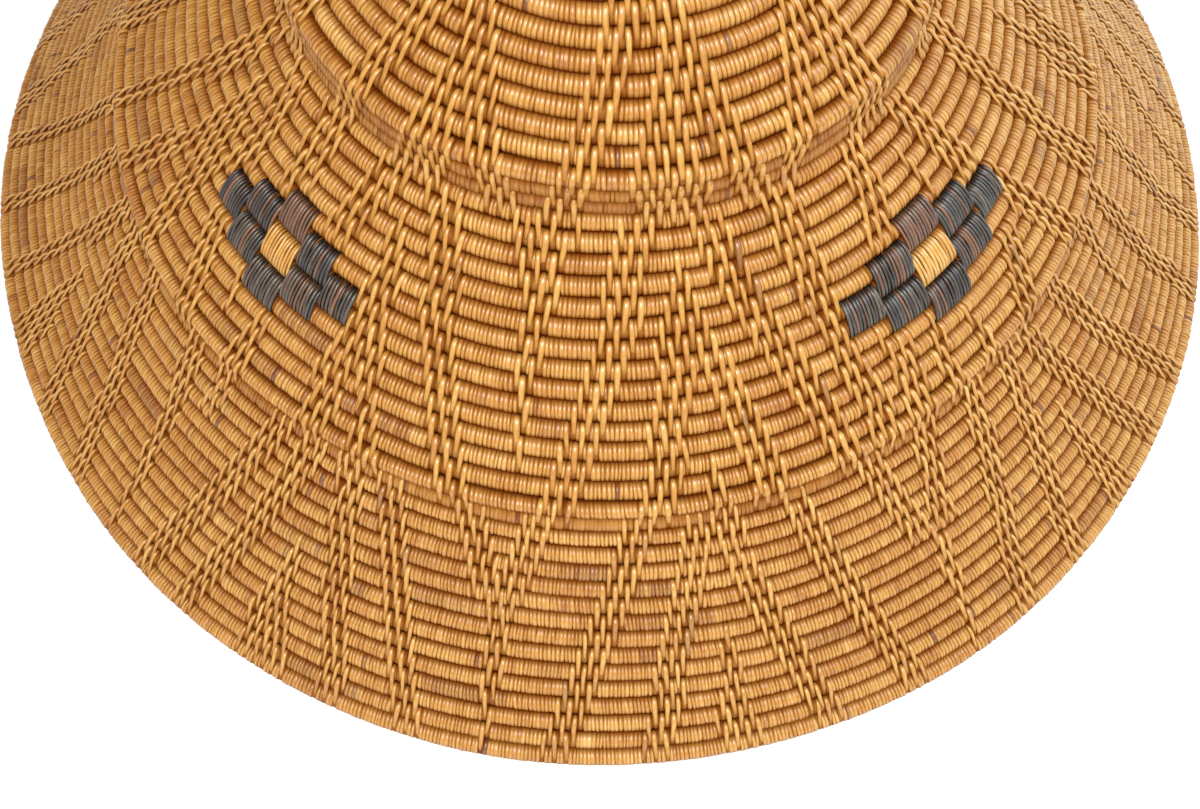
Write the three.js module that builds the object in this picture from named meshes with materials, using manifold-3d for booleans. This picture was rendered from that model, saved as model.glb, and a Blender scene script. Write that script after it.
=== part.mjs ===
// Conical hat in coiled cane basketry, in three stepped cones: crown, middle tier and brim.
//
// Every row of the hat is one coil: a round foundation wrapped with split cane. The rows lie a pitch
// apart along the slope. Each upper cone ends in a proud lip row, and the next cone starts under it,
// below one or two rows that stand nearly upright (the step). The hat stands on its rim row.
//
// Millimetres, +Z up, origin on the ground under the middle of the rim, front of the hat towards -Y.
// Azimuths are in degrees from the front, growing towards +X.
import * as THREE from 'three';
import { mergeVertices } from 'three/addons/utils/BufferGeometryUtils.js';
import Module from 'manifold-3d';

// ---- driving dimensions -------------------------------------------------------------------------
const PITCH = 6.5;               // from one row to the next, along the slope
const WALL = 5.8;                // thickness of the coiled wall
const HOOP_RADIUS = 3.1;         // a lip or rim row, outside its binding
const CORE_RADIUS = 1.5;         // the foundation cane inside a lip or rim row
const GAP = 0.3;                 // clearance between neighbouring pieces
const REST_FLAT = 0.25;          // how far the underside of the rim is worn flat
const SEAM = 22;                 // half the opening of a binding along its seam, in degrees round it

const RIM_RADIUS = 223;          // middle of the rim row
const BRIM = { rows: 13, lowSlope: 46.5, highSlope: 54.5 };
const BRIM_STEP = { rise: 5.6, slopes: [60, 60] };          // brim to step row, step row to lip
const MIDDLE = { rows: 14, lowSlope: 47, highSlope: 47 };
const CROWN_STEP = { rise: 6.3, slopes: [75, 89, 80] };     // middle tier, two step rows, lip
const CROWN = { rows: 21, lowSlope: 47, highSlope: 47 };
const BUTTON_RISE = 4.2;         // height of the starting coil's dome above its edge

const TURN_FACES = 48;           // faces round every turned piece

// Check motifs: bricks of dark cane round one light brick, worked over two rows each.
const CHECK_MIDDLE_ROW = 6.5;    // rows above the lip row at the middle of a motif
const CHECK_POCKET = 2.2;        // depth of a brick's bed in the wall
const CHECK_PROUD = 0.8;         // a brick's height above the wall
const MOTIFS = [
  { name: 'front_left', azimuth: -44.5, brick: 5.3 },
  { name: 'front_right', azimuth: 47.5, brick: 6.2 },
  { name: 'rear_right', azimuth: 137, brick: 5.8 },
  { name: 'rear_left', azimuth: -134, brick: 5.8 },
];
// A motif's bricks as [steps across, rows up], one step across being half the spacing of a row.
const BRICKS = [
  [0, 2], [-1, 1], [1, 1], [-2, 0], [0, 0], [2, 0], [-1, -1], [1, -1], [0, -2],
];

// ---- materials ----------------------------------------------------------------------------------
const cane = (color, roughness) => new THREE.MeshStandardMaterial({ color, roughness, metalness: 0 });
const MATERIAL = {
  coil: cane(0xc98a3c, 0.45),
  lip: cane(0xd29a4b, 0.42),
  step: cane(0xb87a33, 0.5),
  core: cane(0xa9824f, 0.7),
  darkCheck: cane(0x2f2927, 0.4),
  lightCheck: cane(0xd3994a, 0.42),
};

// ---- the hat's section: where the middle of each row lies --------------------------------------
const rad = THREE.MathUtils.degToRad;

// One row further up, at a slope in degrees from the ground.
function stepUp(point, distance, slope) {
  return new THREE.Vector2(point.x - distance * Math.cos(rad(slope)), point.y + distance * Math.sin(rad(slope)));
}

const rows = [new THREE.Vector2(RIM_RADIUS, HOOP_RADIUS - REST_FLAT)];

// Adds the rows of one cone, and returns the number of its first and last row.
function climbCone({ rows: count, lowSlope, highSlope }) {
  const first = rows.length;
  for (let row = 0; row < count; row += 1) {
    const slope = lowSlope + ((highSlope - lowSlope) * (row + 0.5)) / count;
    rows.push(stepUp(rows.at(-1), PITCH, slope));
  }
  return { first, last: rows.length - 1 };
}

// Adds the rows of a step and the lip above it, and returns the number of the first one.
function climbStep({ rise, slopes }) {
  const first = rows.length;
  for (const slope of slopes) rows.push(stepUp(rows.at(-1), rise, slope));
  return first;
}

const RIM = 0;
const brim = climbCone(BRIM);
const brimStep = climbStep(BRIM_STEP);
const middleLip = rows.length - 1;
const middle = climbCone(MIDDLE);
const crownStep = climbStep(CROWN_STEP);
const crownLip = rows.length - 1;
const crown = climbCone(CROWN);
const HOOPS = [RIM, middleLip, crownLip];

// ---- turned pieces ------------------------------------------------------------------------------
// A section is a closed loop of [radius, height] points, anticlockwise, in the X-Y plane of a lathe.
function turn(points) {
  const geometry = new THREE.LatheGeometry(points, TURN_FACES);
  geometry.rotateX(Math.PI / 2);
  return geometry;
}

const unit = (from, to) => to.clone().sub(from).normalize();
const outwardOf = (along) => new THREE.Vector2(along.y, -along.x);

// The line across the wall where row i ends and row i + 1 starts. A hoop keeps its full radius.
function joint(i) {
  const along = unit(rows[i], rows[i + 1]);
  const distance = rows[i].distanceTo(rows[i + 1]);
  let reach = distance / 2;
  if (HOOPS.includes(i)) reach = HOOP_RADIUS + GAP / 2;
  if (HOOPS.includes(i + 1)) reach = distance - HOOP_RADIUS - GAP / 2;
  return { point: rows[i].clone().addScaledVector(along, reach), along };
}

// The section of the wall that holds rows first to last, bending only at the rows in bends.
function wallSection(first, last, bends) {
  const start = joint(first - 1);
  const end = joint(last);
  const path = [{ point: start.point.addScaledVector(start.along, GAP / 2), across: outwardOf(start.along) }];
  for (const i of bends) {
    const before = outwardOf(unit(rows[i - 1], rows[i]));
    const after = outwardOf(unit(rows[i], rows[i + 1]));
    const across = before.clone().add(after).normalize();
    path.push({ point: rows[i].clone(), across: across.divideScalar(across.dot(before)) });
  }
  path.push({ point: end.point.addScaledVector(end.along, -GAP / 2), across: outwardOf(end.along) });
  const outside = path.map(({ point, across }) => point.clone().addScaledVector(across, WALL / 2));
  const inside = path.map(({ point, across }) => point.clone().addScaledVector(across, -WALL / 2));
  return [...outside, ...inside.reverse(), outside[0].clone()];
}

const circlePoint = (centre, radius, angle) =>
  new THREE.Vector2(centre.x + radius * Math.cos(rad(angle)), centre.y + radius * Math.sin(rad(angle)));

// The angles of the points round the outside of a binding. A worn one has a flat at the bottom.
function outerAngles(isWorn) {
  const POINTS = 8;
  const angles = [];
  for (let i = 0; i <= POINTS; i += 1) angles.push(-180 + SEAM + ((360 - 2 * SEAM) * i) / POINTS);
  if (isWorn) {
    const halfFlat = THREE.MathUtils.radToDeg(Math.acos(1 - REST_FLAT / HOOP_RADIUS));
    angles[1] = -90 - halfFlat;
    angles[2] = -90 + halfFlat;
  }
  return angles;
}

// A binding round a foundation cane, open along a narrow seam on the inside of the hat.
function bindingSection(centre, isWorn) {
  const BORE_POINTS = 5;
  const sweep = 360 - 2 * SEAM;
  const boreRadius = (CORE_RADIUS + GAP) / Math.cos(rad(sweep / BORE_POINTS / 2));
  const section = outerAngles(isWorn).map((angle) => circlePoint(centre, HOOP_RADIUS, angle));
  for (let i = BORE_POINTS; i >= 0; i -= 1) {
    section.push(circlePoint(centre, boreRadius, -180 + SEAM + (sweep * i) / BORE_POINTS));
  }
  return [...section, section[0].clone()];
}

function coreSection(centre) {
  const CORE_POINTS = 6;
  const section = [];
  for (let i = 0; i <= CORE_POINTS; i += 1) {
    section.push(circlePoint(centre, CORE_RADIUS, (360 * i) / CORE_POINTS));
  }
  return section;
}

// ---- check bricks -------------------------------------------------------------------------------
// Bends a flat block round the middle tier. Before it: x in degrees, y along the slope from the lip
// row, z out from the middle of the wall.
function bendOntoMiddle(geometry, azimuth, rowsUp) {
  const slope = rad(MIDDLE.lowSlope);
  const position = geometry.attributes.position;
  for (let i = 0; i < position.count; i += 1) {
    const angle = rad(azimuth + position.getX(i));
    const along = rowsUp * PITCH + position.getY(i);
    const out = position.getZ(i);
    const radius = rows[middleLip].x - along * Math.cos(slope) + out * Math.sin(slope);
    const height = rows[middleLip].y + along * Math.sin(slope) + out * Math.cos(slope);
    position.setXYZ(i, radius * Math.sin(angle), -radius * Math.cos(angle), height);
  }
  return geometry;
}

// A brick over two rows, or its bed in the wall when grown by the gap.
function brickBlock(motif, [across, up], grow, low, high) {
  const FACES_ACROSS = 3;
  const radius = rows[middleLip].x - CHECK_MIDDLE_ROW * PITCH * Math.cos(rad(MIDDLE.lowSlope));
  const growDegrees = THREE.MathUtils.radToDeg(grow / radius);
  const block = new THREE.BoxGeometry(
    motif.brick - 2 * THREE.MathUtils.radToDeg(GAP / 2 / radius) + 2 * growDegrees,
    2 * PITCH - GAP + 2 * grow, high - low, FACES_ACROSS, 1, 1);
  block.translate(0, 0, (high + low) / 2);
  return bendOntoMiddle(block, motif.azimuth + across * motif.brick, CHECK_MIDDLE_ROW + up);
}

// ---- cutting the bricks' beds -------------------------------------------------------------------
const manifold = await Module();
manifold.setup();

function toSolid(geometry) {
  const bare = geometry.clone();
  bare.deleteAttribute('normal');
  bare.deleteAttribute('uv');
  const merged = mergeVertices(bare, 1e-4);
  return new manifold.Manifold(new manifold.Mesh({
    numProp: 3,
    vertProperties: new Float32Array(merged.attributes.position.array),
    triVerts: new Uint32Array(merged.index.array),
  }));
}

function toGeometry(solid) {
  const mesh = solid.getMesh();
  const geometry = new THREE.BufferGeometry();
  geometry.setAttribute('position', new THREE.BufferAttribute(mesh.vertProperties, 3));
  geometry.setIndex(new THREE.BufferAttribute(mesh.triVerts, 1));
  geometry.computeVertexNormals();
  return geometry;
}

// ---- assembly -----------------------------------------------------------------------------------
const hat = new THREE.Group();

function add(name, geometry, material) {
  const mesh = new THREE.Mesh(geometry, material);
  mesh.name = name;
  hat.add(mesh);
}

function addHoop(name, row, isWorn) {
  add(`${name}_core`, turn(coreSection(rows[row])), MATERIAL.core);
  add(`${name}_binding`, turn(bindingSection(rows[row], isWorn)), MATERIAL.lip);
}

function addStepRow(name, row) {
  add(name, turn(wallSection(row, row, [row])), MATERIAL.step);
}

function addBrim() {
  const BEND_EVERY = 3;
  const bends = [];
  for (let row = brim.first; row <= brim.last; row += BEND_EVERY) bends.push(row);
  addHoop('rim', RIM, true);
  add('brim_coils', turn(wallSection(brim.first, brim.last, bends)), MATERIAL.coil);
  addStepRow('brim_step_row', brimStep);
}

function addMiddle() {
  const top = WALL / 2;
  let tier = toSolid(turn(wallSection(middle.first, middle.last, [middle.last])));
  for (const motif of MOTIFS) {
    for (const brick of BRICKS) {
      const bed = brickBlock(motif, brick, GAP, top - CHECK_POCKET, top + 2 * CHECK_PROUD);
      tier = tier.subtract(toSolid(bed));
    }
  }
  addHoop('middle_lip', middleLip, false);
  add('middle_coils', toGeometry(tier), MATERIAL.coil);
}

function addChecks() {
  const top = WALL / 2;
  for (const motif of MOTIFS) {
    let dark = 0;
    for (const brick of BRICKS) {
      const isLight = brick[0] === 0 && brick[1] === 0;
      if (!isLight) dark += 1;
      const name = isLight ? `check_${motif.name}_light` : `check_${motif.name}_dark_${dark}`;
      const block = brickBlock(motif, brick, 0, top - CHECK_POCKET + GAP, top + CHECK_PROUD);
      add(name, block, isLight ? MATERIAL.lightCheck : MATERIAL.darkCheck);
    }
  }
}

function addCrown() {
  addStepRow('crown_step_low_row', crownStep);
  addStepRow('crown_step_high_row', crownStep + 1);
  addHoop('crown_lip', crownLip, false);
  add('crown_coils', turn(wallSection(crown.first, crown.last - 1, [])), MATERIAL.coil);
  addButton();
}

// The coil's tight first turns, a low dome that closes the point of the crown.
function addButton() {
  const start = joint(crown.last - 1);
  const out = outwardOf(start.along).multiplyScalar(WALL / 2);
  const edge = start.point.addScaledVector(start.along, GAP / 2);
  const outerEdge = edge.clone().add(out);
  const innerEdge = edge.clone().sub(out);
  const section = [
    new THREE.Vector2(0, innerEdge.y + 1),
    innerEdge,
    outerEdge,
    new THREE.Vector2(outerEdge.x * 0.55, outerEdge.y + BUTTON_RISE * 0.7),
    new THREE.Vector2(0, outerEdge.y + BUTTON_RISE),
  ];
  add('crown_button', turn(section), MATERIAL.lip);
}

addBrim();
addMiddle();
addChecks();
addCrown();

export default hat;
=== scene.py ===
import math

import bpy
import numpy as np
from mathutils import Matrix, Vector


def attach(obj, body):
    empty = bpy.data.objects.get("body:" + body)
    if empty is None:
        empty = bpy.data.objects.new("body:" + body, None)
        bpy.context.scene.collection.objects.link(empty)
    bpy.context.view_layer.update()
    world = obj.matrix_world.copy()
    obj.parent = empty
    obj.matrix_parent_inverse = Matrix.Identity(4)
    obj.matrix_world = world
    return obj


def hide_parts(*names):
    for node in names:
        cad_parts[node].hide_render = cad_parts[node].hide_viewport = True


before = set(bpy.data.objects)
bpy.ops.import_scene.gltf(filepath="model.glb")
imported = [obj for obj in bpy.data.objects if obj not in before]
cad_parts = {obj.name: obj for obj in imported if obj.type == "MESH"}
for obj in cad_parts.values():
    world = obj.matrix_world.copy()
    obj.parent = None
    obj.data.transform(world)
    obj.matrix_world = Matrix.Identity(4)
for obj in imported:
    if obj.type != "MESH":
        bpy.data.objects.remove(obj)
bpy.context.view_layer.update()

# A conical hat in coiled basketry. Every row is a coil wrapped with split cane, and long stitches over
# two rows tie each row to the next in branching lines. Lengths are in millimetres until place() turns
# them into metres. Azimuths are from the front (-Y), growing towards +X. Rows count up from the rim.
MM = 0.001
SEED = 20

# ---- the hat's section, as in the CAD part ------------------------------------------------------
PITCH = 6.5                 # from one row to the next, along the slope
WALL = 5.8                  # thickness of the coiled wall
HOOP_RADIUS = 3.1           # a lip or rim row, outside its wraps
RIM_RADIUS = 223.0
RIM_HEIGHT = 2.85
BRIM_ROWS, BRIM_SLOPES = 13, (46.5, 54.5)
BRIM_STEP_RISE, BRIM_STEP_SLOPES = 5.6, (60, 60)
MIDDLE_ROWS = 14
CROWN_STEP_RISE, CROWN_STEP_SLOPES = 6.3, (75, 89, 80)
CROWN_ROWS = 21
TIER_SLOPE = 47.0
START_RADIUS, START_HEIGHT = 1.7, 264.3     # the coil's first tight turn, which closes the point
# How far the wraps' outside stands out of the wall, of a lip row and of the rim row.
WALL_WRAPS, LIP_WRAPS, RIM_WRAPS = 0.3, 0.5, 0.1
STEP_OUTSIDE = 2.1          # from the middle of the wall to the outside of a flattened step row


def climb(rows, slopes, rise):
    """Adds one row above the last for each slope, in degrees from the ground."""
    for slope in np.radians(slopes):
        radius, height = rows[-1]
        rows.append((radius - rise * math.cos(slope), height + rise * math.sin(slope)))


def hat_rows():
    """Radius and height of the middle of every row, from the rim to the point."""
    rows = [(RIM_RADIUS, RIM_HEIGHT)]
    low, high = BRIM_SLOPES
    climb(rows, low + (high - low) * (np.arange(BRIM_ROWS) + 0.5) / BRIM_ROWS, PITCH)
    climb(rows, BRIM_STEP_SLOPES, BRIM_STEP_RISE)
    climb(rows, [TIER_SLOPE] * MIDDLE_ROWS, PITCH)
    climb(rows, CROWN_STEP_SLOPES, CROWN_STEP_RISE)
    climb(rows, [TIER_SLOPE] * CROWN_ROWS, PITCH)
    rows.append((START_RADIUS, START_HEIGHT))
    return np.array(rows)


ROWS = hat_rows()
LAST = len(ROWS) - 1
RIM = 0
BRIM_STEP = BRIM_ROWS + 1
MIDDLE_LIP = BRIM_STEP + 1
CROWN_STEP = MIDDLE_LIP + MIDDLE_ROWS + 1
CROWN_LIP = CROWN_STEP + 2
HOOPS = (RIM, MIDDLE_LIP, CROWN_LIP)
STEPS = (BRIM_STEP, CROWN_STEP, CROWN_STEP + 1)
LEVELS = np.arange(len(ROWS))


def row_slopes():
    """The wall's slope at each row, from its neighbours."""
    below = ROWS[np.maximum(LEVELS - 1, 0)]
    above = ROWS[np.minimum(LEVELS + 1, LAST)]
    return np.arctan2(above[:, 1] - below[:, 1], below[:, 0] - above[:, 0])


def row_thickness():
    """How far each row's outside stands out of the middle of the wall."""
    out = np.full(len(ROWS), WALL / 2 + WALL_WRAPS)
    out[list(HOOPS)] = HOOP_RADIUS + LIP_WRAPS
    out[list(STEPS)] = STEP_OUTSIDE
    out[RIM] = HOOP_RADIUS + RIM_WRAPS
    out[LAST] = START_RADIUS
    return out


SLOPE = row_slopes()
OUTSIDE = row_thickness()
GAPS = np.hypot(*np.diff(ROWS, axis=0).T)
HALF_ROW = 0.5 * np.minimum(np.r_[GAPS, GAPS[-1]], np.r_[GAPS[0], GAPS])
HALF_ROW[LAST] = START_RADIUS

# Slow handmade unevenness: (turns round the hat, size, phase, drift per row)
SWAY = ((2, 0.9, 0.6, 0.05), (3, 0.5, 1.9, 0.11), (5, 0.35, 4.0, 0.23), (9, 0.18, 2.2, 0.5))
BOB = ((2, 0.7, 2.4, 0.07), (4, 0.45, 0.3, 0.16), (7, 0.3, 5.1, 0.35), (13, 0.12, 1.1, 0.9))
CALM_AT_RIM, CALM_AT_POINT = 5, 8           # rows over which it fades out towards the rim and the point


def waves(table, azimuth, level):
    """The sum of a table's waves at an azimuth in radians."""
    return sum(
        size * np.sin(turns * azimuth + phase + drift_per_row * level)
        for turns, size, phase, drift_per_row in table
    )


def place(azimuth, level, along, out):
    """Points in metres, along mm up the slope from a level and out mm out of the middle of the wall."""
    slope = np.interp(level, LEVELS, SLOPE)
    calm = np.clip(np.minimum(level / CALM_AT_RIM, (LAST - level) / CALM_AT_POINT), 0, 1)
    radius = np.interp(level, LEVELS, ROWS[:, 0]) - along * np.cos(slope) + out * np.sin(slope)
    radius = radius + waves(SWAY, azimuth, level) * np.clip((LAST - level) / CALM_AT_POINT, 0, 1)
    height = np.interp(level, LEVELS, ROWS[:, 1]) + along * np.sin(slope) + out * np.cos(slope)
    height = np.maximum(height + waves(BOB, azimuth, level) * calm, 0.0)
    return np.stack([radius * np.sin(azimuth), -radius * np.cos(azimuth), height], -1) * MM


# ---- the pattern: lines of long stitches ---------------------------------------------------------
# A line is a list of (row of its tier, azimuth in degrees, stitches side by side), from the top down.
# Rows count from the tier's lip or rim, and the rows below a lip are negative. The back of the hat
# repeats the front, half a turn on.
CROWN_LINES = (
    ((16, -48, 2), (12, -30, 3), (7, -20.5, 3), (0, -13.5, 3), (-2, -14, 3)),
    ((18, 5, 2), (12, 8, 3), (7, 3.3, 3), (0, -4, 3), (-2, -6, 3)),
    ((9, 13, 1), (8, 14, 2), (7, 15.3, 3), (0, 26.5, 3), (-2, 25.5, 3)),
    ((5, 10.3, 1), (0, 12.2, 6), (-2, 12, 5)),
    ((18, 62, 2), (12, 48, 3), (7, 36.5, 3), (5, 34.5, 3), (0, 30.5, 3), (-2, 31, 2)),
    ((8, 45, 1), (5, 44.4, 3), (0, 47.7, 5), (-2, 47.5, 5)),
    ((9, -35, 1), (7, -36, 3), (4, -38.5, 3), (0, -47, 3), (-2, -46, 3)),
    ((5, -27.8, 1), (0, -29.5, 5), (-2, -30, 5)),
    ((10, 60, 1), (7, 58, 3), (0, 66, 3), (-2, 66, 3)),
    ((6, 74, 1), (0, 77, 5), (-2, 77, 4)),
    ((12, 85, 3), (7, 88, 3), (0, 88, 3), (-2, 88, 3)),
    ((10, -52, 1), (7, -54, 3), (0, -61, 3), (-2, -62, 3)),
    ((5, -70, 1), (0, -72, 5), (-2, -72, 4)),
    ((16, -85, 2), (12, -80, 3), (7, -80, 3), (0, -84, 3), (-2, -84, 3)),
)
MIDDLE_LINES = (
    ((14, -86, 3), (0, -92, 3)),
    ((14, -67.3, 3), (0, -82.3, 3)),
    ((14, -57.5, 3), (8, -57.5, 3)),
    ((12, -63, 1), (7, -65.5, 6), (6, -65.5, 6)),
    ((5, -68.2, 3), (0, -73.5, 3)),
    ((5, -62.5, 3), (0, -62.3, 3)),
    ((14, -48, 3), (10, -48, 3)),
    ((14, -34.6, 3), (9, -39.2, 3)),
    ((12, -30, 1), (5, -29.3, 5)),
    ((4, -31, 3), (0, -31.8, 3)),
    ((4, -27, 2), (0, -24.2, 3)),
    ((14, -24.6, 3), (0, -14.6, 3)),
    ((14, -8.8, 5), (12, -8.8, 3), (9, -8.8, 2), (5, -8.8, 1), (3, -8.8, 1)),
    ((14, 5.6, 3), (0, -4, 3)),
    ((12, 11.5, 1), (8, 12.9, 5)),
    ((7, 10.3, 3), (0, 6.7, 3)),
    ((7, 15.3, 3), (0, 19.4, 3)),
    ((2, 13.3, 1), (0, 13.3, 2)),
    ((14, 16.5, 3), (10, 20.4, 3), (7, 23.5, 3), (4, 26.3, 3), (0, 28.8, 3)),
    ((14, 28.5, 3), (0, 33.8, 3)),
    ((14, 43.5, 3), (9, 42, 3)),
    ((12, 50.5, 1), (9, 51.5, 2)),
    ((14, 54.8, 3), (0, 69, 3)),
    ((14, 71.5, 3), (5, 75, 3), (0, 77, 5)),
    ((10, 84, 1), (0, 88, 4)),
    ((5, -55, 3), (0, -52.3, 3)),
    ((4, -48, 1), (3, -48, 1)),
    ((3, -42.3, 2), (0, -43, 3)),
    ((5, 38, 3), (0, 38.5, 3)),
    ((4, 43.7, 1), (0, 43, 3)),
    ((3, 48.5, 1), (0, 48.5, 2)),
    ((4, 59, 3), (0, 55.5, 3)),
)
BRIM_LINES = (
    ((14, -75, 3), (1, -83.5, 3)),
    ((14, -68, 3), (1, -76.5, 3)),
    ((14, -64.6, 3), (1, -61.5, 3)),
    ((8, -68, 1), (1, -68.8, 6)),
    ((14, -58.3, 3), (1, -54, 3)),
    ((14, -48.7, 3), (11, -47.9, 3), (9, -47.7, 2), (1, -47.7, 1)),
    ((14, -43.5, 3), (12, -45, 2)),
    ((14, -35.2, 3), (1, -43.7, 3)),
    ((14, -30.8, 3), (1, -37.9, 3)),
    ((14, -26.3, 3), (1, -22.3, 3)),
    ((8, -29.2, 1), (1, -29.5, 6)),
    ((14, -21.5, 3), (1, -15.2, 3)),
    ((14, -12.5, 3), (10, -10, 3)),
    ((14, -5.5, 3), (10, -7.5, 3)),
    ((9, -8.7, 3), (7, -8.7, 2), (1, -8.7, 1)),
    ((14, 4.8, 3), (1, -2.5, 3)),
    ((14, 12.7, 5), (13, 12.7, 6)),
    ((12, 10.6, 3), (1, 6, 3)),
    ((12, 14.6, 3), (1, 22.3, 3)),
    ((7, 13, 1), (1, 13.7, 4)),
    ((14, 21.5, 3), (1, 29.8, 3)),
    ((14, 30.7, 3), (9, 34, 3)),
    ((14, 37.8, 3), (9, 36.9, 3)),
    ((8, 35.6, 2), (1, 35.6, 1)),
    ((14, 45.4, 3), (1, 41.7, 3)),
    ((14, 51.2, 3), (1, 48.5, 3)),
    ((14, 54.6, 3), (1, 65, 3)),
    ((8, 54.6, 1), (1, 55.8, 5)),
    ((14, 61.3, 3), (1, 71.9, 3)),
    ((14, 70, 3), (8, 70.8, 1)),
    ((14, 75.2, 3), (1, 78, 3)),
    ((14, 84, 3), (1, 85.5, 3)),
    ((14, -82, 3), (6, -89, 3), (1, -90, 3)),
)
TIERS = ((BRIM_LINES, RIM), (MIDDLE_LINES, MIDDLE_LIP), (CROWN_LINES, CROWN_LIP))
# Values for the brim, the middle tier and the crown.
WRAPS = (1.25, 1.28, 1.4)           # room for one wrap along a row
SLOTS = (1.58, 1.78, 1.6)           # room for one long stitch along a row
STITCH_WIDTHS = (1.4, 1.6, 1.68)
TONES = (0.5, 0.48, 0.44)           # mean tone of the cane, 0 dark to 1 pale
FRONT_GAIN = 0.19           # how much wider stitches and their rooms are at the front and back
LONGEST_MOVE = 1.3          # the most that a line moves round the hat from one row to the next, in slots
BRICK_MARGIN = 0.35         # room kept beside a check brick, in slots
STAGGER = 0.85              # least room from a stitch to the nearest in the row above, in slots
CROWDED = 1.5               # least room between two stitches of a row, in slots
LINE_REACH = 4.5            # stitches this close to each other belong to one line, in slots


def tier_value(values, row):
    """The value for the tier that a row belongs to."""
    tier = np.searchsorted((MIDDLE_LIP, CROWN_STEP), row, side="right")
    return np.choose(tier, values)


def slot_degrees(row):
    """Room for one long stitch on a row, in degrees round the hat."""
    return math.degrees(tier_value(SLOTS, row) / ROWS[row, 0])


def front_gain(azimuth):
    """How wide stitches are at an azimuth in degrees, beside their mean."""
    return 1 + FRONT_GAIN * np.cos(2 * np.radians(azimuth))


def walk(line, base):
    """(row, azimuth, count) down a line. Each row's stitches stand in the gaps of the row above's."""
    knot_rows, knot_azimuths, knot_counts = (np.array(column, float)[::-1] for column in zip(*line))
    top, bottom = int(knot_rows[-1]), int(knot_rows[0])
    position, previous, steps = None, None, []
    for row in range(top, bottom - 1, -1):
        wanted = float(np.interp(row, knot_rows, knot_azimuths))
        count = round(float(np.interp(row, knot_rows, knot_counts)))
        slot = slot_degrees(base + row)
        if position is None:
            position = wanted
        elif (count - previous) % 2 == 0:
            gap = wanted - position
            position += math.copysign(min(max(abs(gap), slot), LONGEST_MOVE * slot), gap)
        previous = count
        steps.append((base + row, position, count))
    return steps


# ---- the pattern: check motifs --------------------------------------------------------------------
CHECK_MIDDLE_ROW = 6.5      # rows above the middle lip at the middle of a motif
# (name, azimuth of its middle and width of a brick, both in degrees)
MOTIFS = (
    ("front_left", -44.5, 5.3),
    ("front_right", 47.5, 6.2),
    ("rear_right", 137.0, 5.8),
    ("rear_left", -134.0, 5.8),
)
# (column, rows above the motif's middle) of each brick. A brick covers two rows.
BRICKS = ((0, 2), (-1, 1), (1, 1), (-2, 0), (0, 0), (2, 0), (-1, -1), (1, -1), (0, -2))
LIGHT_BRICK = (0, 0)
FADED_BRICK = 0             # the top brick, faded to brown
FADED = 0.6                 # how far, 0 to 1
OUTER_BRICK = 0.86          # an outer brick's width beside the others'


def bricks():
    """(motif, number, is light, azimuth, width, level) of every brick, level being its middle."""
    for motif, azimuth, width in MOTIFS:
        for number, (column, up) in enumerate(BRICKS):
            narrow = OUTER_BRICK if abs(column) == 2 else 1.0
            level = MIDDLE_LIP + CHECK_MIDDLE_ROW + up
            moved_in = 1 - (1 - narrow) / 4     # so that a narrow outer brick still meets its neighbours
            centre = azimuth + column * width * moved_in
            yield motif, number, (column, up) == LIGHT_BRICK, centre, width * narrow, level


def turn_between(a, b):
    """From azimuth b to a in degrees, the short way."""
    return (a - b + 180) % 360 - 180


def in_brick(row, azimuth, margin=0.0):
    """Whether a place on a row lies under a brick."""
    for _, _, _, centre, width, level in bricks():
        if abs(row - level) < 1 and abs(turn_between(azimuth, centre)) < width / 2 + margin:
            return True
    return False


def crosses_brick(row, azimuth):
    """Whether a stitch from the groove above a row would cross a brick."""
    margin = BRICK_MARGIN * slot_degrees(row)
    return in_brick(row, azimuth, margin) or in_brick(row - 1, azimuth, margin)


def clear_of(azimuth, others, room):
    """Moves an azimuth off the nearest of the others if it is closer than room."""
    if not others:
        return azimuth
    nearest = min(others, key=lambda other: abs(turn_between(azimuth, other)))
    gap = turn_between(azimuth, nearest)
    if abs(gap) >= room:
        return azimuth
    return nearest + math.copysign(room, gap if gap else 1)


def stitch_plan():
    """For each row, the azimuths of the long stitches that start in the groove above it."""
    plan = {row: [] for row in range(len(ROWS) + 1)}
    for lines, base in TIERS:
        for line in lines:
            for turn in (0, 180):
                for row, azimuth, count in walk(line, base):
                    slot = slot_degrees(row) * front_gain(azimuth)
                    for i in range(count):
                        plan[row].append(azimuth + turn + (2 * i - count + 1) * slot)
    for row in range(LAST, 0, -1):
        slot = slot_degrees(row)
        kept = []
        for azimuth in plan[row]:
            azimuth = clear_of(azimuth, plan[row + 1], STAGGER * slot)
            crowded = any(abs(turn_between(azimuth, other)) < CROWDED * slot for other in kept)
            if not crowded and not crosses_brick(row, azimuth):
                kept.append(azimuth)
        plan[row] = kept
    return plan


PLAN = stitch_plan()


def group_offset(row, azimuth, near):
    """Mean offset from an azimuth of the stitches near it on a row."""
    offsets = [turn_between(other, azimuth) for other in PLAN[row]]
    offsets = [offset for offset in offsets if abs(offset) < near]
    return sum(offsets) / len(offsets) if offsets else 0.0


def drift(row, azimuth):
    """How far, in mm, a line of stitches moves round the hat from this row to the next below."""
    near = LINE_REACH * slot_degrees(row)
    turn = group_offset(row - 1, azimuth, near) - group_offset(row, azimuth, near)
    return math.radians(turn) * ROWS[row, 0]


# ---- meshes ---------------------------------------------------------------------------------------
GRID_CORNERS = ((0, 0), (1, 0), (1, 1), (0, 1))


def grid_quads(across, round_count, closed_across):
    """Quads of a tube of rings, each with round_count points."""
    i = np.arange(across if closed_across else across - 1)[:, None]
    j = np.arange(round_count)[None, :]
    corners = [((i + di) % across) * round_count + (j + dj) % round_count for di, dj in GRID_CORNERS]
    return np.stack(corners, -1).reshape(-1, 4)


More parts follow.
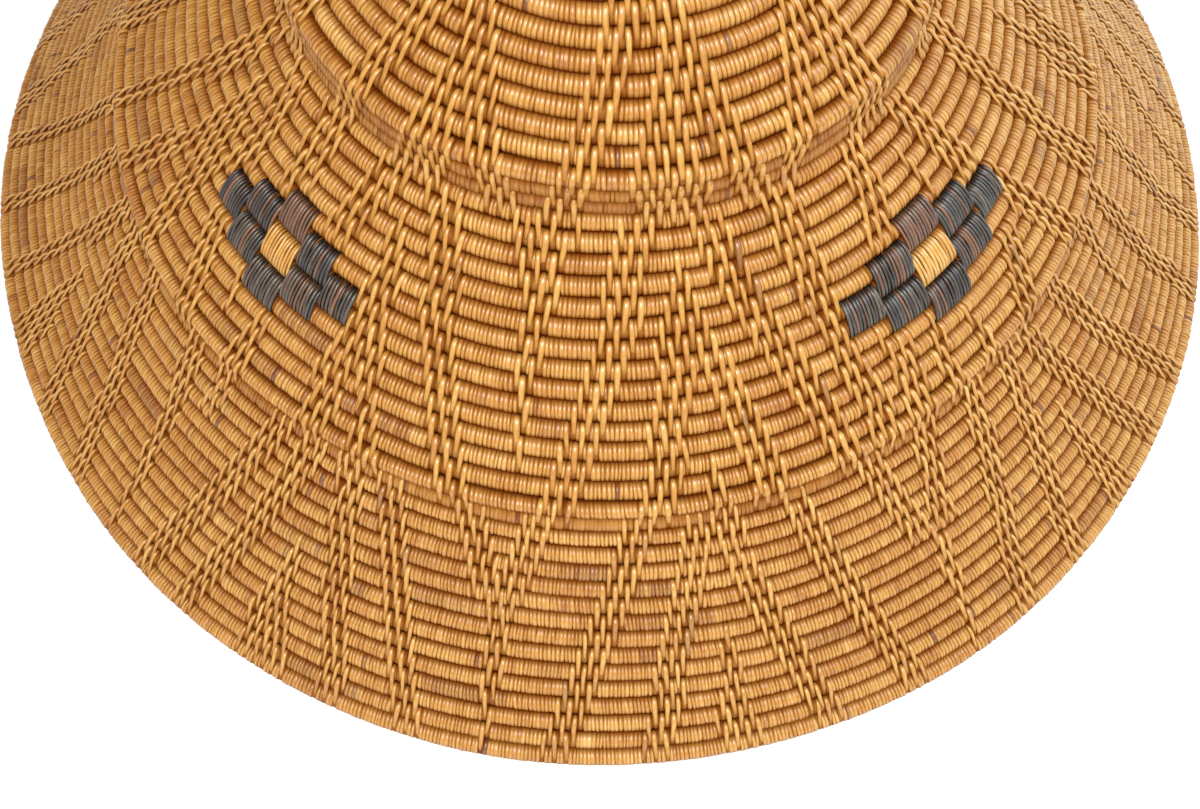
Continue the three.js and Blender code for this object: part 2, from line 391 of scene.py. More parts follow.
class Heap:
    """Collects grids of points into one mesh. cane holds each point's tone, stain, openness to the light
    across its strand and openness to the light along it, which set the painted shade in its colour; strand
    holds its place on its strand in mm, and the strand's number."""

    def __init__(self):
        self.points = []
        self.quads = []
        self.cane = []
        self.strand = []
        self.count = 0

    def add(self, points, quads, cane, strand):
        self.points.append(points.reshape(-1, 3))
        self.cane.append(cane.reshape(-1, 4))
        self.strand.append(strand.reshape(-1, 3))
        self.quads.append(quads + self.count)
        self.count += len(self.points[-1])

    def build(self, name, material, slot, nodes):
        points, quads = np.concatenate(self.points), np.concatenate(self.quads)
        mesh = bpy.data.meshes.new(name)
        mesh.vertices.add(len(points))
        mesh.vertices.foreach_set("co", points.astype(np.float32).ravel())
        mesh.loops.add(quads.size)
        mesh.loops.foreach_set("vertex_index", quads.astype(np.int32).ravel())
        mesh.polygons.add(len(quads))
        mesh.polygons.foreach_set("loop_start", np.arange(0, quads.size, 4, dtype=np.int32))
        mesh.polygons.foreach_set("use_smooth", np.ones(len(quads), dtype=bool))
        cane = mesh.attributes.new("cane", "FLOAT_COLOR", "POINT")
        cane.data.foreach_set("color", np.concatenate(self.cane).astype(np.float32).ravel())
        strand = mesh.attributes.new("strand", "FLOAT_VECTOR", "POINT")
        strand.data.foreach_set("vector", np.concatenate(self.strand).astype(np.float32).ravel())
        mesh.update(calc_edges=True)
        mesh.materials.append(material)
        piece = bpy.data.objects.new(name, mesh)
        bpy.context.scene.collection.objects.link(piece)
        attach(piece, "root")
        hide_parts(*nodes)


# ---- wrapped rows -----------------------------------------------------------------------------------
# Points round a row's section: degrees from straight out of the wall, positive up the slope.
ROUND = np.radians([-90, -68, -45, -22, 0, 22, 45, 68, 90, 145, 215])
ROW_OVERLAP = 0.25          # how far a row reaches past halfway to the next, so no light comes through
STEP_FLATNESS = 0.65        # power of the cosine that flattens a step row's outside
INWARD = 0.8                # how much further a thin row reaches in than out
ROW_SHADE, LIP_SHADE = 0.48, 0.28           # cosine round a row below which it lies in the groove's shade
WRAP_JITTER = 0.28          # how far a wrap lies from its even place, in wraps
RUN_LENGTHS = (5, 30)       # wraps in one length of cane
RUN_TONES, WRAP_TONES = 0.1, 0.08           # spread of tone between lengths of cane, and between wraps
STAINED_RUNS, STAINED_WRAPS = 0.06, 0.008   # share of lengths of cane, and of single wraps, with stains
RUN_STAIN, WRAP_STAIN = (0.15, 0.6), (0.5, 1.0)         # least and most of those stains
STAIN_REACHING = (0.3, 1.0)                 # how much of its length's stain reaches a wrap
GROOVE_SHAPE, GROOVE_SCALE = 4.0, 0.125     # the gamma distribution of the depth between two wraps
GROOVE_LIMITS = (0.2, 0.8)  # least and most of it
GAPING, GAPING_DEPTH = 0.03, 1.1            # share of the grooves that gape, and how deep those are
USUAL_GROOVE = 0.4          # depth of a groove whose painted shade is just as dark as its rings say
GROOVE_SHADE_LIMITS = (0.3, 1.2)                # least and most painted shade of a groove beside the usual one
STEP_SHADE_TONES, STEP_LIGHT, STEP_GROOVES = 0.6, 0.7, 0.5    # of a step row's wraps beside other rows'; the lower tone and light are painted shade under the lip above
COVERED_DROP, COVERED_LIGHT = 0.35, 0.35    # how much lower a wrap under a stitch lies, and its light
WRAP_LIFT = 0.07            # spread of the wraps' heights
ROW_LEAN, ROW_LEANS, WRAP_LEANS = -0.03, 0.03, 0.04     # mean lean, and its spread by row and by wrap
# A wrap's rings: place across it, how far below its crown, and how open to the light.
WRAP_RINGS = ((0.0, 1.0, 0.0), (0.14, 0.27, 0.78), (0.5, 0.0, 1.0), (0.86, 0.27, 0.78))
# Steps through the cane's noise, so that no two wraps or strands look alike.
WRAP_NOISE_STEP, ROW_NOISE_STEP = 3.7, 17.3
STRAND_NOISE_STEP, STRAND_ROW_STEP = 2.3, 31.7


def row_slots(row, rng):
    """Middles of the slots round a row in radians, and whether a stitch or brick covers each."""
    half_slot = slot_degrees(row) / 2
    half_wrap = math.degrees(tier_value(WRAPS, row) / ROWS[row, 0]) / 2
    marks = sorted(azimuth % 360 for azimuth in PLAN[row] + PLAN[row + 1]) or [0.0]
    middles, covered = [], []
    for i, mark in enumerate(marks):
        following = marks[(i + 1) % len(marks)] + (360 if i + 1 == len(marks) else 0)
        middles.append(mark)
        covered.append(len(marks) > 1)
        room = following - mark - 2 * half_slot
        wraps = max(round(room / half_wrap / 2), 0)
        for n in range(wraps):
            place_across = (n + 0.5 + rng.uniform(-WRAP_JITTER, WRAP_JITTER)) / wraps
            middles.append(mark + half_slot + room * place_across)
            covered.append(in_brick(row, middles[-1]))
    return np.radians(middles), np.array(covered)


def run_tones(count, mean, rng):
    """Tones of a row's wraps. Each length of cane has its own tone and covers a run of wraps."""
    tones, stains = np.empty(count), np.empty(count)
    start = 0
    while start < count:
        run = rng.integers(*RUN_LENGTHS)
        stain = rng.uniform(*RUN_STAIN) if rng.random() < STAINED_RUNS else 0.0
        tones[start : start + run] = rng.normal(mean, RUN_TONES)
        stains[start : start + run] = stain
        start += run
    tones += rng.normal(0, WRAP_TONES, count)
    stained = rng.random(count) < STAINED_WRAPS
    wrap_stains = rng.uniform(*WRAP_STAIN, count)
    stains = np.where(stained, wrap_stains, stains * rng.uniform(*STAIN_REACHING, count))
    return tones.clip(0, 1), stains.clip(0, 1)


def section(row, drop):
    """Offsets (along, out) of the points round a row, each drop mm inside its full section."""
    flat = STEP_FLATNESS if row in STEPS else 1.0
    outer = np.sign(np.cos(ROUND)) * np.abs(np.cos(ROUND)) ** flat
    side = np.sin(ROUND)
    inward = min(WALL / 2, OUTSIDE[row] + INWARD)
    thickness = np.where(np.abs(ROUND) <= math.pi / 2, OUTSIDE[row], inward)
    along = side * (HALF_ROW[row] + ROW_OVERLAP - drop * np.cos(ROUND).clip(0, 1))
    out = outer * thickness - np.cos(ROUND) * drop
    return along, out


def wrap_edges(middles):
    """Where each wrap round a row starts and ends, halfway to its neighbours."""
    after = np.roll(middles, -1)
    after[-1] += 2 * math.pi
    ends = (middles + after) / 2
    starts = np.roll(ends, 1)
    starts[0] -= 2 * math.pi
    return starts, ends


def wrap_rings(row, starts, ends, covered, rng):
    """Azimuth, drop below the full section and openness to the light of the rings of a row's wraps."""
    is_step = row in STEPS
    count = len(starts)
    groove = rng.gamma(GROOVE_SHAPE, GROOVE_SCALE, count).clip(*GROOVE_LIMITS)
    if is_step:
        groove = groove * STEP_GROOVES
    groove[rng.random(count) < GAPING] = GAPING_DEPTH
    lift = rng.normal(0, WRAP_LIFT, count)
    light = np.where(covered, COVERED_LIGHT, STEP_LIGHT if is_step else 1.0)
    # Painted shade between wraps: the deeper the groove, the darker its colour.
    groove_shade = (groove / USUAL_GROOVE).clip(*GROOVE_SHADE_LIMITS)
    azimuth, drop, openness = [], [], []
    for across, depth, ring_light in WRAP_RINGS:
        azimuth.append(starts + across * (ends - starts))
        sunk = np.where(covered | (np.roll(covered, 1) & (across == 0)), COVERED_DROP, 0.0)
        drop.append(groove * depth + sunk - lift * (across > 0))
        openness.append(light * (1 - (1 - ring_light) * groove_shade))
    return (np.stack(values, 1).ravel() for values in (azimuth, drop, openness))


def add_row(heap, row):
    """One wrapped row, all round the hat."""
    rng = np.random.default_rng(SEED * 1000 + row)
    middles, covered = row_slots(row, rng)
    starts, ends = wrap_edges(middles)
    count, rings = len(middles), len(WRAP_RINGS)
    tones, stains = run_tones(count, tier_value(TONES, row), rng)
    # A step row's cane is made darker: painted shade under the lip above.
    if row in STEPS:
        tones = tones * STEP_SHADE_TONES
    azimuth, drop, openness = wrap_rings(row, starts, ends, covered, rng)
    lean = (rng.normal(ROW_LEAN, ROW_LEANS) + rng.normal(0, WRAP_LEANS, count)) / ROWS[row, 0]
    along, out = section(row, drop[:, None])
    twist = np.repeat(lean, rings)[:, None] * along
    points = place(azimuth[:, None] + twist, np.full_like(along, row), along, out)
    # Painted shade: each row's colour darkens round its section, from straight out towards the grooves
    # between rows.
    shade = LIP_SHADE if row in HOOPS else ROW_SHADE
    face = ((np.cos(ROUND) - shade) / (1 - shade)).clip(0, 1)
    tones, stains = np.repeat(tones, rings), np.repeat(stains, rings)
    columns = (tones[:, None], stains[:, None], openness[:, None].clip(0, 1), face)
    cane = np.stack([values + 0 * along for values in columns], -1)
    number = np.repeat(np.arange(count), rings)[:, None] * WRAP_NOISE_STEP + row * ROW_NOISE_STEP
    columns = (azimuth[:, None] * ROWS[row, 0], ROUND * HALF_ROW[row], number)
    strand = np.stack([values + 0 * along for values in columns], -1)
    heap.add(points, grid_quads(len(azimuth), len(ROUND), True), cane, strand)


# ---- strands laid over two rows: long stitches and check bricks --------------------------------------
# Points round a strand's section: across it, and out of it, in halves of its width and thickness.
STRAND_SECTION = ((-0.92, -0.8), (-0.98, 0.05), (-0.42, 0.92), (0.42, 0.92), (0.98, 0.05), (0.92, -0.8))
STRAND_EDGES = (0.15, 0.55, 1.0, 1.0, 0.55, 0.15)       # how open each of them is to the light
STRAND_THICKNESS, THINNEST = 0.84, 0.55     # where a strand is wide, and the share left as it narrows
STRAND_BEND, STRAND_LIFT = 0.09, 0.07       # spread of the strands' sideways bends, and of their heights
FREE_ROWS = 0.8             # a strand's height varies this near its middle; its ends stay in the grooves


def strand_quads(steps, count):
    """Quads of count closed strands, each a tube of steps rings with an end at both sides."""
    sides = len(STRAND_SECTION)
    last = (steps - 1) * sides
    near_end = ((0, 1, 2, 3), (0, 3, 4, 5))
    far_end = ((last + 3, last + 2, last + 1, last), (last + 5, last + 4, last + 3, last))
    one = np.concatenate([grid_quads(steps, sides, False), near_end, far_end])
    return (one[None] + (np.arange(count) * steps * sides)[:, None, None]).reshape(-1, 4)


def add_strands(heap, rows, azimuths, path, widths, tones, stains, leans, rng):
    """Strands from the groove above each row to the groove below the next. path holds, from the top
    down, (rows below the start, height over the row, share of the full width, openness to light).
    leans holds, in mm, how far each strand's lower end lies round the hat from its middle."""
    below, heights, shares, openness = (np.array(column, float) for column in zip(*path))
    count, steps = len(rows), len(path)
    radii = ROWS[rows, 0][:, None]
    bend = rng.normal(0, STRAND_BEND, count)[:, None] / radii
    azimuth = azimuths[:, None] + leans[:, None] / radii * (below - 1) + bend * np.sin(below * 3)
    lift = heights[None, :] + rng.normal(0, STRAND_LIFT, (count, 1)) * (np.abs(below - 1) < FREE_ROWS)
    level = rows[:, None] + 0.5 - below[None, :]
    clamped = level.clip(0, LAST)
    base = np.interp(clamped, LEVELS, OUTSIDE)
    middle = place(azimuth, clamped, (level - clamped) * PITCH, base + lift)
    ahead = np.gradient(middle, axis=1)
    ahead /= np.linalg.norm(ahead, axis=2, keepdims=True)
    side = np.stack([np.cos(azimuth), np.sin(azimuth), np.zeros_like(azimuth)], -1)
    up = np.cross(ahead, side)
    half_width = widths[:, None] * shares[None, :] / 2 * MM
    half_thick = STRAND_THICKNESS / 2 * MM * (THINNEST + (1 - THINNEST) * shares)
    points = np.stack([
        middle + side * (half_width * x)[..., None] + up * (half_thick * y)[None, :, None]
        for x, y in STRAND_SECTION
    ], 2)
    points[..., 2] = np.maximum(points[..., 2], 0.0)
    shape = points.shape[:3]
    columns = (tones[:, None, None], stains[:, None, None], np.array(STRAND_EDGES), openness[None, :, None])
    cane = np.stack([np.broadcast_to(values, shape) for values in columns], -1)
    across = np.array([x for x, _ in STRAND_SECTION])
    number = (np.arange(count) + rows * STRAND_ROW_STEP) * STRAND_NOISE_STEP
    columns = (half_width[..., None] / MM * across, (below * PITCH)[None, :, None], number[:, None, None])
    strand = np.stack([np.broadcast_to(values, shape) for values in columns], -1)
    heap.add(points, strand_quads(steps, count), cane, strand)


# From the groove above the upper row, over it, across the groove, over the lower row and in again.
STITCH_PATH = (
    (0.02, -2.2, 0.80, 0.1), (0.06, -1.2, 0.95, 0.35), (0.13, -0.5, 1.0, 0.75), (0.25, -0.05, 1.03, 1.0),
    (0.41, 0.14, 1.05, 1.0), (0.58, 0.12, 1.02, 1.0), (0.75, 0.0, 0.98, 0.95), (0.92, -0.22, 0.94, 0.85),
    (1.09, -0.32, 0.90, 0.85), (1.25, -0.3, 0.87, 0.8), (1.41, -0.4, 0.83, 0.65), (1.56, -0.8, 0.76, 0.4),
    (1.69, -1.4, 0.64, 0.2), (1.80, -2.4, 0.5, 0.1),
)
FOLLOW = 0.22               # how much of its line's drift a stitch leans by
MOST_DRIFT = 2.0            # the most of it that counts, in mm
ROW_OF_STITCHES_LEAN, ROW_OF_STITCHES_LEANS = 0.1, 0.12     # mean lean of a row of stitches, and its spread
STITCH_LEANS, STITCH_PLACES = 0.1, 0.1      # spread of single stitches' leans, and of their places
STITCH_WIDTH_SPREAD, STITCH_WIDTH_LIMITS = 0.09, (0.75, 1.2)
STITCH_TONES, STAINED_STITCHES = 0.11, 0.007            # spread of tone, and share with stains
STITCH_STAIN = (0.2, 0.6)   # least and most of those stains


def add_stitches(heap, first, last):
    """The long stitches that start above rows first to last."""
    rng = np.random.default_rng(SEED * 2000 + first)
    rows = np.array([row for row in range(first, last + 1) for _ in PLAN[row]])
    azimuths = np.radians([azimuth for row in range(first, last + 1) for azimuth in PLAN[row]])
    count = len(rows)
    azimuths = azimuths + rng.normal(0, STITCH_PLACES, count) / ROWS[rows, 0]
    widths = tier_value(STITCH_WIDTHS, rows) * front_gain(np.degrees(azimuths))
    widths = widths * rng.normal(1, STITCH_WIDTH_SPREAD, count).clip(*STITCH_WIDTH_LIMITS)
    tones = (tier_value(TONES, rows) + rng.normal(0, STITCH_TONES, count)).clip(0, 1)
    stains = np.where(rng.random(count) < STAINED_STITCHES, rng.uniform(*STITCH_STAIN, count), 0.0)
    drifts = [drift(row, math.degrees(azimuth)) for row, azimuth in zip(rows, azimuths)]
    row_leans = rng.normal(ROW_OF_STITCHES_LEAN, ROW_OF_STITCHES_LEANS, len(ROWS) + 1)
    leans = FOLLOW * np.clip(drifts, -MOST_DRIFT, MOST_DRIFT) + row_leans[rows]
    leans = leans + rng.normal(0, STITCH_LEANS, count)
    add_strands(heap, rows, azimuths, STITCH_PATH, widths, tones, stains, leans, rng)


# A brick's strands bulge over both rows together.
BRICK_PATH = (
    (0.04, -2.3, 0.9, 0.1), (0.10, -1.0, 1.0, 0.4), (0.20, -0.1, 1.0, 0.75), (0.35, 0.42, 1.0, 0.95),
    (0.55, 0.75, 1.0, 1.0), (0.78, 0.95, 1.0, 1.0), (1.0, 1.0, 1.0, 1.0), (1.22, 0.92, 1.0, 1.0),
    (1.45, 0.68, 1.0, 0.95), (1.65, 0.3, 1.0, 0.85), (1.80, -0.25, 1.0, 0.65), (1.90, -1.1, 0.95, 0.35),
    (1.97, -2.3, 0.9, 0.05),
)
BRICK_STRAND = 1.15         # width of a brick's strand
BRICK_WIDTHS = (0.78, 1.12) # least and most width of a strand beside its room
LIGHT_TONE, LIGHT_TONES = 0.66, 0.12        # mean tone of the light brick's strands, and its spread
DARK_TONE, DARK_TONES = (0.2, 0.6), (-0.35, 0.4)        # limits of a dark brick's tone, and of its strands'
BROWN_STRANDS = 0.22        # share of a dark brick's strands that have faded to brown
BROWN_STAIN, DARK_STAIN = (0.4, 1.0), (0.0, 0.15)       # least and most stain of those, and of the others
BRICK_STAIN = (0.6, 1.0)    # how much of a faded brick's brown reaches a strand
BRICK_LEAN, BRICK_LEANS, BRICK_STRAND_LEANS = 0.1, 0.2, 0.12    # mean, and spread by brick and by strand


def dark_strands(count, brown, rng):
    """Tones and brown stains of a dark brick's strands."""
    tones = rng.uniform(*DARK_TONE) + rng.uniform(*DARK_TONES, count)
    is_brown = rng.random(count) < BROWN_STRANDS
    stains = np.where(is_brown, rng.uniform(*BROWN_STAIN, count), rng.uniform(*DARK_STAIN, count))
    return tones, stains + brown * rng.uniform(*BRICK_STAIN, count)


def add_brick(heap, is_light, brown, centre, width, level, rng):
    """A brick's strands, side by side. brown is how far a dark brick has faded to brown, 0 to 1."""
    row = int(level + 0.5)
    spread = math.radians(width) * ROWS[row, 0]
    count = round(spread / BRICK_STRAND)
    places = (np.arange(count) + 0.5) / count - 0.5
    azimuths = np.radians(centre) + np.radians(width) * places
    rows = np.full(count, row)
    widths = np.full(count, spread / count) * rng.uniform(*BRICK_WIDTHS, count)
    if is_light:
        tones, stains = rng.normal(LIGHT_TONE, LIGHT_TONES, count), np.zeros(count)
    else:
        tones, stains = dark_strands(count, brown, rng)
    leans = rng.normal(BRICK_LEAN, BRICK_LEANS) + rng.normal(0, BRICK_STRAND_LEANS, count)
    add_strands(heap, rows, azimuths, BRICK_PATH, widths, tones.clip(0, 1), stains.clip(0, 1), leans, rng)


# ---- materials ---------------------------------------------------------------------------------------
class Tree:
    """A short way to write a material's nodes."""

    def __init__(self, name):
        self.material = bpy.data.materials.new(name)
        self.material.use_nodes = True
        self.nodes = self.material.node_tree.nodes
        self.links = self.material.node_tree.links
        self.shader = self.nodes["Principled BSDF"]

    def feed(self, socket, value):
        if isinstance(value, bpy.types.NodeSocket):
            self.links.new(value, socket)
        elif value is not None:
            socket.default_value = value

    def math(self, operation, a, b=None, c=None, clamp=False):
        node = self.nodes.new("ShaderNodeMath")
        node.operation = operation
        node.use_clamp = clamp
        for socket, value in zip(node.inputs, (a, b, c)):
            self.feed(socket, value)
        return node.outputs[0]

    def mix(self, factor, a, b, blend="MIX"):
        node = self.nodes.new("ShaderNodeMix")
        node.data_type = "RGBA"
        node.blend_type = blend
        self.feed(node.inputs["Factor"], factor)
        self.feed(node.inputs["A"], a)
        self.feed(node.inputs["B"], b)
        return node.outputs["Result"]

    def attribute(self, name):
        node = self.nodes.new("ShaderNodeAttribute")
        node.attribute_name = name
        return node

    def split(self, colour):
        node = self.nodes.new("ShaderNodeSeparateColor")
        self.feed(node.inputs[0], colour)
        return node.outputs

    def noise(self, vector, scale, detail=2.0):
        node = self.nodes.new("ShaderNodeTexNoise")
        self.feed(node.inputs["Vector"], vector)
        node.inputs["Scale"].default_value = scale
        node.inputs["Detail"].default_value = detail
        return node.outputs["Fac"]

    def stretch(self, vector, scale):
        node = self.nodes.new("ShaderNodeVectorMath")
        node.operation = "MULTIPLY"
        self.feed(node.inputs[0], vector)
        node.inputs[1].default_value = scale
        return node.outputs[0]

    def ramp(self, factor, stops):
        node = self.nodes.new("ShaderNodeValToRGB")
        elements = node.color_ramp.elements
        while len(elements) < len(stops):
            elements.new(0.5)
        for element, (position, colour) in zip(elements, stops):
            element.position = position
            element.color = (*colour, 1.0)
        self.feed(node.inputs[0], factor)
        return node.outputs["Color"]


# (stretch across, along and between strands; scale) of the noises in the cane
FIBRES = ((3.2, 0.22, 1.0), 1.6)
PATCHES = ((0.5, 0.35, 1.0), 1.0)
SPECKS = ((2.2, 1.1, 1.0), 2.4)
SPECK_COLOURS = ((0.60, (1.0, 1.0, 1.0)), (0.72, (0.66, 0.50, 0.38)))
GLOSS, GLOSS_IOR = 0.8, 1.65                # of cane that nothing shades
FIBRE_TONES, PATCH_TONES, FIBRE_ROUGHNESS = 0.5, 0.7, 0.3       # how far the noises move these
PATCHY_STAIN = (1.2, 0.5)   # how much of a stain shows, from the patches: their factor, and the least
FIBRE_BUMP, FIBRE_HEIGHT = 0.35, 0.12       # strength of the fibres' bump, and its height in mm
OPENNESS_POWER = 0.8        # below 1, a little light reaches the grooves


def cane_material(name, tones, stain, groove, roughness):
    """Split cane: a tone per strand, fibres along it, stains, and painted shade in the grooves between
    strands.
    """
    tree = Tree(name)
    cane = tree.attribute("cane")
    tone, stained, ridge = tree.split(cane.outputs["Color"])[:3]
    face = cane.outputs["Alpha"]
    strand = tree.attribute("strand").outputs["Vector"]
    fibres, patches, specks = (
        tree.noise(tree.stretch(strand, stretch), scale, detail)
        for (stretch, scale), detail in ((FIBRES, 3.0), (PATCHES, 2.0), (SPECKS, 3.0))
    )
    streak = tree.math("MULTIPLY_ADD", fibres, FIBRE_TONES, -FIBRE_TONES / 2)
    patch = tree.math("MULTIPLY_ADD", patches, PATCH_TONES, -PATCH_TONES / 2)
    shade = tree.math("ADD", tree.math("ADD", tone, streak), patch, clamp=True)
    colour = tree.ramp(shade, tones)
    patchy = tree.math("MULTIPLY_ADD", patches, *PATCHY_STAIN)
    stain_amount = tree.math("MULTIPLY", stained, patchy, clamp=True)
    colour = tree.mix(stain_amount, colour, (*stain, 1.0))
    ridge_light, face_light = (tree.math("POWER", light, OPENNESS_POWER) for light in (ridge, face))
    openness = tree.math("MULTIPLY", ridge_light, face_light, clamp=True)
    # Painted shade: where openness to the light is low, the colour goes to the groove's shade colour.
    colour = tree.mix(openness, (*groove, 1.0), colour)
    colour = tree.mix(1.0, colour, tree.ramp(specks, SPECK_COLOURS), "MULTIPLY")
    tree.feed(tree.shader.inputs["Base Color"], colour)
    gloss = tree.math("MULTIPLY", tree.math("POWER", openness, 2.0), GLOSS)
    tree.feed(tree.shader.inputs["Specular IOR Level"], gloss)
    tree.feed(tree.shader.inputs["IOR"], GLOSS_IOR)
    rough = tree.math("MULTIPLY_ADD", fibres, FIBRE_ROUGHNESS, roughness - FIBRE_ROUGHNESS / 2)
    rough = tree.math("MAXIMUM", rough, tree.math("SUBTRACT", 1.0, openness))
    tree.feed(tree.shader.inputs["Roughness"], rough)
    bump = tree.nodes.new("ShaderNodeBump")
    tree.feed(bump.inputs["Strength"], FIBRE_BUMP)
    tree.feed(bump.inputs["Distance"], FIBRE_HEIGHT * MM)
    tree.feed(bump.inputs["Height"], fibres)
    tree.feed(tree.shader.inputs["Normal"], bump.outputs["Normal"])
    return tree.material


# Ramps of colour by tone, the colours of stains, and the colours of the painted shade in grooves.
HONEY = (
    (0.0, (0.33, 0.11, 0.013)),
    (0.35, (0.50, 0.215, 0.028)),
    (0.65, (0.60, 0.305, 0.056)),
    (1.0, (0.72, 0.43, 0.12)),
)
HONEY_STAIN, HONEY_GROOVE_SHADE = (0.17, 0.062, 0.018), (0.115, 0.018, 0.0008)
CHARCOAL = (
    (0.0, (0.010, 0.009, 0.009)),
    (0.45, (0.026, 0.023, 0.020)),
    (0.75, (0.070, 0.057, 0.040)),
    (1.0, (0.15, 0.115, 0.07)),
)
CHARCOAL_STAIN, CHARCOAL_GROOVE_SHADE = (0.19, 0.075, 0.030), (0.006, 0.004, 0.003)
COIL = cane_material("coil_cane", HONEY, HONEY_STAIN, HONEY_GROOVE_SHADE, roughness=0.42)
DARK = cane_material("dark_cane", CHARCOAL, CHARCOAL_STAIN, CHARCOAL_GROOVE_SHADE, roughness=0.48)
FOUNDATION = ((0.3, (0.28, 0.16, 0.06)), (0.7, (0.42, 0.27, 0.12)))
FOUNDATION_GRAIN = (40.0, 40.0, 900.0)


def core_material():
    """Plain foundation cane: streaks, and no strands."""
    tree = Tree("core_cane")
    position = tree.nodes.new("ShaderNodeTexCoord").outputs["Object"]
    streaks = tree.noise(tree.stretch(position, FOUNDATION_GRAIN), 1.0, 4.0)
    tree.feed(tree.shader.inputs["Base Color"], tree.ramp(streaks, FOUNDATION))
    tree.feed(tree.shader.inputs["Roughness"], tree.math("MULTIPLY_ADD", streaks, 0.6, 0.5))
    return tree.material


CORE = core_material()

# ---- the pieces of the hat -----------------------------------------------------------------------------
# (name, first row, last row, material slot, CAD node)
ROW_PIECES = (
    ("rim_row", RIM, RIM, "hoop_cane", "rim_binding"),
    ("brim_rows_1_to_2", 1, 2, "coil_cane", "brim_coils"),
    ("brim_rows_3_to_4", 3, 4, "coil_cane", "brim_coils"),
    ("brim_rows_5_to_6", 5, 6, "coil_cane", "brim_coils"),
    ("brim_rows_7_to_8", 7, 8, "coil_cane", "brim_coils"),
    ("brim_rows_9_to_10", 9, 10, "coil_cane", "brim_coils"),
    ("brim_rows_11_to_12", 11, 12, "coil_cane", "brim_coils"),
    ("brim_row_13", 13, 13, "coil_cane", "brim_coils"),
    ("brim_step_row_wrapped", BRIM_STEP, BRIM_STEP, "step_cane", "brim_step_row"),
    ("middle_lip_row", MIDDLE_LIP, MIDDLE_LIP, "hoop_cane", "middle_lip_binding"),
    ("middle_rows_1_to_3", 16, 18, "coil_cane", "middle_coils"),
    ("middle_rows_4_to_6", 19, 21, "coil_cane", "middle_coils"),
    ("middle_rows_7_to_10", 22, 25, "coil_cane", "middle_coils"),
    ("middle_rows_11_to_14", 26, 29, "coil_cane", "middle_coils"),
    ("crown_step_row_1", CROWN_STEP, CROWN_STEP, "step_cane", "crown_step_low_row"),
    ("crown_step_row_2", CROWN_STEP + 1, CROWN_STEP + 1, "step_cane", "crown_step_high_row"),
    ("crown_lip_row", CROWN_LIP, CROWN_LIP, "hoop_cane", "crown_lip_binding"),
    ("crown_rows_1_to_4", 33, 36, "coil_cane", "crown_coils"),
    ("crown_rows_5_to_9", 37, 41, "coil_cane", "crown_coils"),
    ("crown_rows_10_to_20", 42, LAST - 2, "coil_cane", "crown_coils"),
    ("crown_start_coil", LAST - 1, LAST, "hoop_cane", "crown_button"),
)
STITCH_PIECES = (
    ("brim_stitches_1_to_7", 1, 7, "brim_coils"),
    ("brim_stitches_8_to_14", 8, BRIM_STEP, "brim_coils"),
    ("middle_stitches_0_to_7", MIDDLE_LIP, 22, "middle_coils"),
    ("middle_stitches_8_to_14", 23, 29, "middle_coils"),
    ("crown_stitches", CROWN_STEP, LAST, "crown_coils"),
)


def make_rows():
    """The wrapped rows, a few to a piece."""
    for name, first, last, slot, node in ROW_PIECES:
        heap = Heap()
        for row in range(first, last + 1):
            add_row(heap, row)
        heap.build(name, COIL, slot, [node])


def make_stitches():
    """The long stitches, in bands of rows."""
    for name, first, last, node in STITCH_PIECES:
        heap = Heap()
        add_stitches(heap, first, last)
        heap.build(name, COIL, "coil_cane", [node])


def make_checks():
    """Each motif's dark bricks are one piece, and its light brick another."""
    for number, (motif, _, _) in enumerate(MOTIFS):
        rng = np.random.default_rng(SEED * 3000 + number)
        dark, light = Heap(), Heap()
        for name, order, is_light, centre, width, level in bricks():
            brown = FADED if order == FADED_BRICK else 0.0
            if name == motif:
                add_brick(light if is_light else dark, is_light, brown, centre, width, level, rng)
        dark_nodes = [f"check_{motif}_dark_{i}" for i in range(1, len(BRICKS))]
        dark.build(f"check_{motif}_dark_strands", DARK, "dark_cane", dark_nodes)
        light.build(f"check_{motif}_light_strands", COIL, "light_cane", [f"check_{motif}_light"])


def dress_cores():
    """The foundation canes stay as the CAD made them, inside the wraps, in plain cane."""
    for name in ("rim_core", "middle_lip_core", "crown_lip_core"):
        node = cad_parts[name]
        for material_slot in node.material_slots:
            material_slot.material = CORE


# ---- camera, floor and light ---------------------------------------------------------------------------
CAMERA_DISTANCE = 0.678     # in metres, from the middle of the rim
CAMERA_ELEVATION = 59.01    # in degrees, as the three turns are
CAMERA_TILT, CAMERA_PAN, CAMERA_ROLL = -7.62, 0.17, 1.79
CAMERA_LENS, CAMERA_SENSOR = 53.1, 36.0
FLOOR_HALF, FLOOR_DROP = 40.0, 0.0002       # half its side, and how far it lies under the rim, in metres
FLOOR_COLOURS = ((0.3, (0.86, 0.855, 0.84)), (0.7, (0.88, 0.875, 0.865)))
FLOOR_NOISE, FLOOR_ROUGHNESS = 3.0, 0.8
HAT_MIDDLE = Vector((0, 0, 0.12))           # where the lights aim, in metres
WARM_WHITE, COOL_WHITE = (1.0, 0.985, 0.96), (0.66, 0.87, 1.0)
WORLD_STRENGTH = 0.27


def turned(a, b, degrees):
    """Unit vectors a and b turned in their own plane, a towards b."""
    angle = math.radians(degrees)
    return a * math.cos(angle) + b * math.sin(angle), b * math.cos(angle) - a * math.sin(angle)


